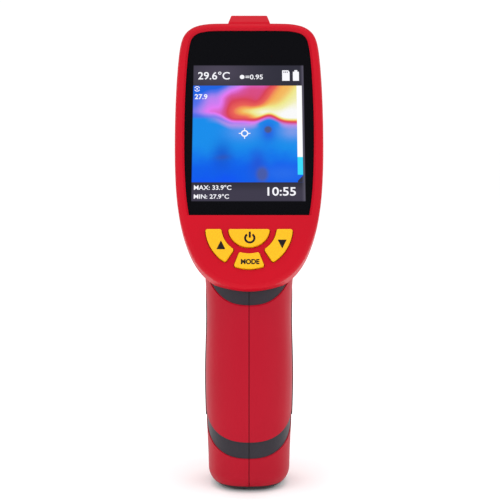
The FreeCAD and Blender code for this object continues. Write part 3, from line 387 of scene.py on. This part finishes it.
def make_seam_tongue(material):
    """The tongue that closes the seam between the shells, inside the wall at the back of the grip; its near-black
    colour is painted shade, a dark strip for the shade inside the seam.

    It follows the outer edge of the seam: the shell's corners there with none further back within REACH of them.
    """
    sink, thick, half, reach = 0.9 * MM, 0.6 * MM, 0.55 * MM, 7.0 * MM
    shell = corners("left_shell")
    seam = shell[shell[:, 0] > shell[:, 0].max() - 0.01 * MM]
    seam = seam[np.argsort(seam[:, 2])]
    rear = np.array([p for p in seam
                     if seam[np.abs(seam[:, 2] - p[2]) < reach, 1].min() > p[1] - 1.2 * MM and p[1] < -5.0 * MM])
    heights = np.linspace(rear[0, 2] + 0.3 * MM, span("upper_band_left", np.array([0.0, 0.0, 1.0]))[1], 40)
    edge = np.interp(heights, rear[:, 2], rear[:, 1])
    profile = np.array([(-half, 0.0), (half, 0.0), (half, thick), (-half, thick), (-half, 0.0)])
    points = np.empty((len(heights), len(profile), 3))
    points[..., 0] = profile[:, 0]
    points[..., 1] = edge[:, None] + sink + profile[:, 1]
    points[..., 2] = heights[:, None]
    mesh_piece("seam_tongue", points.reshape(-1, 3), grid_faces(len(heights), len(profile)), material, "housing")


def make_key_marks(print_black):
    """The black prints on the keys: two triangles, the power sign and a word."""
    def top(node):
        return span(node, INTO)[0] - 0.02 * MM

    flat_marks("print_up", [outline((-13.7, -54.5), (-9.95, -54.5), (-11.83, -50.5))], top("key_up"), print_black,
               "up_key")
    flat_marks("print_down", [outline((13.94, -54.2), (15.85, -50.2), (12.03, -50.2))], top("key_down"), print_black,
               "down_key")
    power = [ring((0.3, -49.5), 1.5, 2.4, 125, 415, 60), rectangle(-0.14, -49.3, 0.88, 2.7)]
    flat_marks("print_power", power, top("key_power"), print_black, "power_key")
    lettering("print_mode", "MODE", -3.45, -61.15, 7.8, 2.35, 0.045, top("key_mode"), print_black, "mode_key")


# ------------------------------------------------------------------------------------------------ finishes
def moulded(name, colour, dark, grain, depth, rough, coat=0.0, **fixed):
    """Moulded plastic: slow drifts of shade, a fine spark-eroded grain (depth in millimetres), faint rubbed patches."""
    made, shader, place = finish(name, Coat_Weight=coat, Coat_Roughness=0.25, **fixed)
    drift = noise(place, 22.0, 3.0)
    rubbed = step(noise(place, 60.0, 5.0, 0.65), 0.60, 0.80)
    fine = noise(place, grain, 2.0, 0.6)
    feed(shader, Base_Color=blend(step(drift, 0.30, 0.75) * 0.5, colour, dark),
         Roughness=rough + 0.07 * drift - 0.05 * rubbed + 0.05 * fine,
         Normal=bump(fine, depth * MM, 0.35))
    return made


def rubber(name, colour, dust, grain, rough):
    """Soft rubber: matt, with a fine pebbled skin that holds a little dust."""
    made, shader, place = finish(name, Specular_IOR_Level=0.35, Sheen_Weight=0.15, Sheen_Roughness=0.5)
    pebbles = cells(place, grain)
    cloud = noise(place, 45.0, 4.0)
    feed(shader, Base_Color=blend(step(cloud, 0.45, 0.85) * 0.35, colour, dust),
         Roughness=rough + 0.12 * cloud, Normal=bump(pebbles, 0.06 * MM, 0.5))
    return made


def brushed(name, colour, stretch, rough, scale=900.0):
    """Metal with fine drawn lines along one axis; stretch squeezes the noise across them."""
    made, shader, place = finish(name, Metallic=1.0)
    drawn = place.node("Mapping", (), {"Vector": place, "Scale": stretch})
    lines = noise(drawn, scale, 3.0, 0.7)
    cloud = noise(place, 80.0, 2.0)
    feed(shader, Base_Color=blend(lines * 0.35, colour, tuple(c * 0.7 for c in colour)),
         Roughness=rough + 0.18 * lines + 0.08 * cloud, Normal=bump(lines, 0.01 * MM, 0.4))
    return made


def circuit_board(name):
    """Green solder resist with paler tracks and bright pads."""
    made, shader, place = finish(name, Coat_Weight=0.3, Coat_Roughness=0.2)
    tracks = cells(place, 420.0, "DISTANCE_TO_EDGE")
    copper = step(tracks, 0.10, 0.05)
    pads = step(cells(place, 300.0), 0.16, 0.12)
    colour = blend(copper, (0.012, 0.085, 0.035), (0.03, 0.19, 0.075))
    feed(shader, Base_Color=blend(pads, colour, (0.72, 0.66, 0.52)), Roughness=0.42 - 0.14 * pads,
         Metallic=0.9 * pads, Normal=bump(copper, 0.03 * MM, 0.5))
    return made


def cell_wrap():
    """A battery's printed sleeve: dark blue with a copper-coloured band at its top end."""
    made, shader, place = finish("cell_sleeve", Coat_Weight=0.4, Coat_Roughness=0.15)
    low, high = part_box("battery_cells")
    height = place.node("SeparateXYZ", (), {0: place}, out="Z")
    top = step(height, low[2] + 0.74 * (high[2] - low[2]), low[2] + 0.75 * (high[2] - low[2]))
    fleck = noise(place, 700.0, 3.0)
    feed(shader, Base_Color=blend(top, srgb(28, 52, 120), srgb(190, 118, 62)), Metallic=0.55 * top + 0.15,
         Roughness=0.26 + 0.12 * fleck, Normal=bump(fleck, 0.01 * MM, 0.3))
    return made


def germanium():
    """A germanium lens: dark mirror with a coating that shades from violet to bronze."""
    made, shader, place = finish("germanium_coated", Metallic=1.0, IOR=4.0)
    low, high = (np.array(corner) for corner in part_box("ir_lens"))
    centre, radius = (low + high) / 2, (high[0] - low[0]) / 2
    out = place.node("VectorMath", {"operation": "DISTANCE"}, {0: place, 1: tuple(centre)}, out="Value")
    specks = noise(place, 1500.0, 2.0)
    feed(shader, Base_Color=blend(step(out, 0.3 * radius, radius), srgb(104, 92, 122), srgb(150, 104, 84)),
         Roughness=0.06 + 0.05 * specks)
    return made


def screen_light(name, colour):
    """A lit part of the display's own drawing."""
    made, shader, place = finish(name, Emission_Strength=1.0, Roughness=0.12)
    cell = noise(place, 1800.0, 0.0)
    feed(shader, Emission_Color=blend(cell * 0.12, colour, tuple(c * 0.8 for c in colour)), Base_Color=blend(
        cell, srgb(30, 30, 34), srgb(44, 44, 50)))
    return made


def dress_object():
    """Every CAD node's finish."""
    red, deep_red = srgb(198, 1, 30), srgb(184, 1, 27)
    dress(moulded("red_satin_face", red, deep_red, 2600.0, 0.02, 0.36, Specular_IOR_Level=0.15), "rear_bezel")
    # The shells take a darker red than the face: painted shade, for the same red plastic lit less on the grip's sides.
    dress(moulded("red_satin_shell_painted_shade", srgb(176, 3, 34), srgb(160, 3, 30), 2400.0, 0.05, 0.42,
                  Specular_IOR_Level=0.18),
          "left_shell", "right_shell")
    dress(moulded("yellow_silicone", srgb(250, 188, 2), srgb(238, 170, 2), 3000.0, 0.02, 0.42, Specular_IOR_Level=0.3,
                  Subsurface_Weight=0.08, Subsurface_Scale=0.002),
          "key_power", "key_up", "key_down", "key_mode")
    dress(rubber("grey_band_rubber", srgb(41, 36, 45), srgb(62, 57, 68), 1500.0, 0.55),
          "upper_band_left", "upper_band_right", "lower_band_left", "lower_band_right")
    dress(rubber("black_flap_rubber", srgb(28, 27, 30), srgb(60, 58, 62), 1200.0, 0.6), "port_cover")
    dress(moulded("black_grained", srgb(26, 26, 29), srgb(38, 38, 42), 1500.0, 0.10, 0.52),
          "nose_bezel", "battery_door", "base_cap")
    dress(moulded("black_smooth", srgb(22, 22, 25), srgb(32, 32, 35), 2600.0, 0.03, 0.30), "trigger")
    dress(moulded("charcoal_cover", srgb(46, 46, 50), srgb(60, 60, 64), 1700.0, 0.08, 0.46), "lens_cover")
    dress(make_window(), "display_window")
    dress(rubber("black_foam_tape", srgb(20, 20, 22), srgb(34, 34, 38), 2500.0, 0.8), "window_gasket")
    dress(moulded("panel_glass", srgb(34, 38, 44), srgb(24, 27, 33), 3500.0, 0.005, 0.08, 0.5), "lcd_panel")
    dress(moulded("white_inner_plastic", srgb(222, 220, 212), srgb(205, 202, 192), 1800.0, 0.05, 0.5), "lcd_frame")
    dress(moulded("black_inner_plastic", srgb(36, 36, 38), srgb(48, 48, 50), 1800.0, 0.06, 0.5), "battery_holder")
    dress(circuit_board("green_board"), "main_board", "io_board", "sensor_board")
    dress(moulded("chip_resin", srgb(30, 30, 32), srgb(42, 42, 44), 4200.0, 0.02, 0.55),
          "board_chips", "buzzer", "board_header", "trigger_switch", "camera_module")
    dress(brushed("bright_steel", (0.55, 0.55, 0.57), (1.0, 12.0, 1.0), 0.24),
          "key_domes", "usb_port", "card_socket", "board_screws", "door_pin", "trigger_pin", "base_screws",
          "housing_screws", "sensor_screws", "trigger_spring", "detector")
    dress(brushed("nickel_contacts", (0.70, 0.67, 0.62), (1.0, 1.0, 4.0), 0.16), "contact_springs", "contact_plates")
    dress(cell_wrap(), "battery_cells")
    dress(germanium(), "ir_lens")
    dress(brushed("black_anodised", (0.03, 0.03, 0.034), (1.0, 14.0, 1.0), 0.34), "lens_barrel")
    dress(brushed("turned_lens_metal", (0.34, 0.34, 0.37), (1.0, 20.0, 1.0), 0.28), "lens_ring")
    dress(moulded("camera_glass", srgb(20, 20, 30), srgb(36, 26, 52), 4000.0, 0.002, 0.05, 1.0), "camera_window")
    dress(brushed("turned_brass", (0.62, 0.42, 0.17), (1.0, 1.0, 14.0), 0.22), "tripod_insert")


dress_object()
make_readings(screen_light("screen_white", srgb(250, 250, 255)), screen_light("screen_grey", srgb(70, 66, 82)))
make_key_marks(moulded("key_print_black", srgb(26, 14, 14), srgb(38, 24, 22), 3600.0, 0.005, 0.5))


# The tongue's near-black colour is painted shade: a dark strip where the seam only shows shade.
make_seam_tongue(moulded("seam_tongue_painted_shade", srgb(18, 16, 18), srgb(26, 22, 24), 2000.0, 0.03, 0.6))


# ------------------------------------------------------------------------------------------------ surroundings
def make_floor():
    """A plain pale table top under the object's lowest point."""
    half, top = 40.0, float(cad_box[0][2]) - 0.2 * MM
    points = np.array([(-half, -half, top), (half, -half, top), (half, half, top), (-half, half, top)])
    mesh = bpy.data.meshes.new("table_top")
    mesh.from_pydata(points.tolist(), [], [(0, 1, 2, 3)])
    made, shader, place = finish("pale_table", Roughness=0.9, Specular_IOR_Level=0.0)
    feed(shader, Base_Color=blend(noise(place, 3.0, 2.0), (0.97, 0.97, 0.972), (0.99, 0.99, 0.99)))
    mesh.materials.append(made)
    floor = bpy.data.objects.new("table_top", mesh)
    bpy.context.scene.collection.objects.link(floor)


def soft_light(name, place, aim, size, watts):
    """A square soft box at a place, turned to its aim."""
    light = bpy.data.lights.new(name, "AREA")
    light.shape, light.size, light.energy = "SQUARE", size, watts
    lamp = bpy.data.objects.new(name, light)
    away = np.array(place, float) - np.array(aim, float)
    lamp.location = place
    lamp.rotation_euler = (math.acos(away[2] / np.linalg.norm(away)), 0.0, math.atan2(away[0], -away[1]))
    bpy.context.scene.collection.objects.link(lamp)


def make_lights():
    """Five soft boxes aimed at the object's middle, in an even pale studio that its gloss hardly mirrors."""
    middle = (0.0, 0.02, 0.11)
    for name, place, size, watts in (("left_box", (-0.95, -0.62, 0.55), 0.7, 1.2),
                                     ("right_box", (0.95, -0.62, 0.55), 0.7, 1.0),
                                     ("top_box", (0.0, 0.05, 1.15), 0.8, 2.2),
                                     ("front_left_box", (-0.8, 0.95, 0.6), 0.8, 2.5),
                                     ("front_right_box", (0.8, 0.95, 0.6), 0.8, 2.5)):
        soft_light(name, place, middle, size, watts)
    world = bpy.data.worlds.new("pale_studio")
    bpy.context.scene.world = world
    world.use_nodes = True
    sky = world.node_tree
    mirrored = Wire(sky).node("LightPath", out="Is Glossy Ray")
    sky.links.new(blend(mirrored, (1.05, 1.05, 1.055), (0.05, 0.05, 0.055)).socket,
                  sky.nodes["Background"].inputs["Color"])


def make_camera():
    """The main view: level with the head and tipped 5 degrees down, at half a metre."""
    lens = bpy.data.cameras.new("main_view")
    lens.lens, lens.sensor_width, lens.sensor_fit = 85.9, 36.0, "HORIZONTAL"
    lens.clip_start, lens.clip_end = 0.05, 50.0
    view = bpy.data.objects.new("main_view", lens)
    view.location = (0.0004, -0.5099, 0.1452)
    view.rotation_euler = (math.radians(85.0), 0.0, 0.0)
    bpy.context.scene.collection.objects.link(view)
    bpy.context.scene.camera = view


make_floor()
make_lights()
make_camera()
bpy.context.scene.view_settings.view_transform = "Standard"
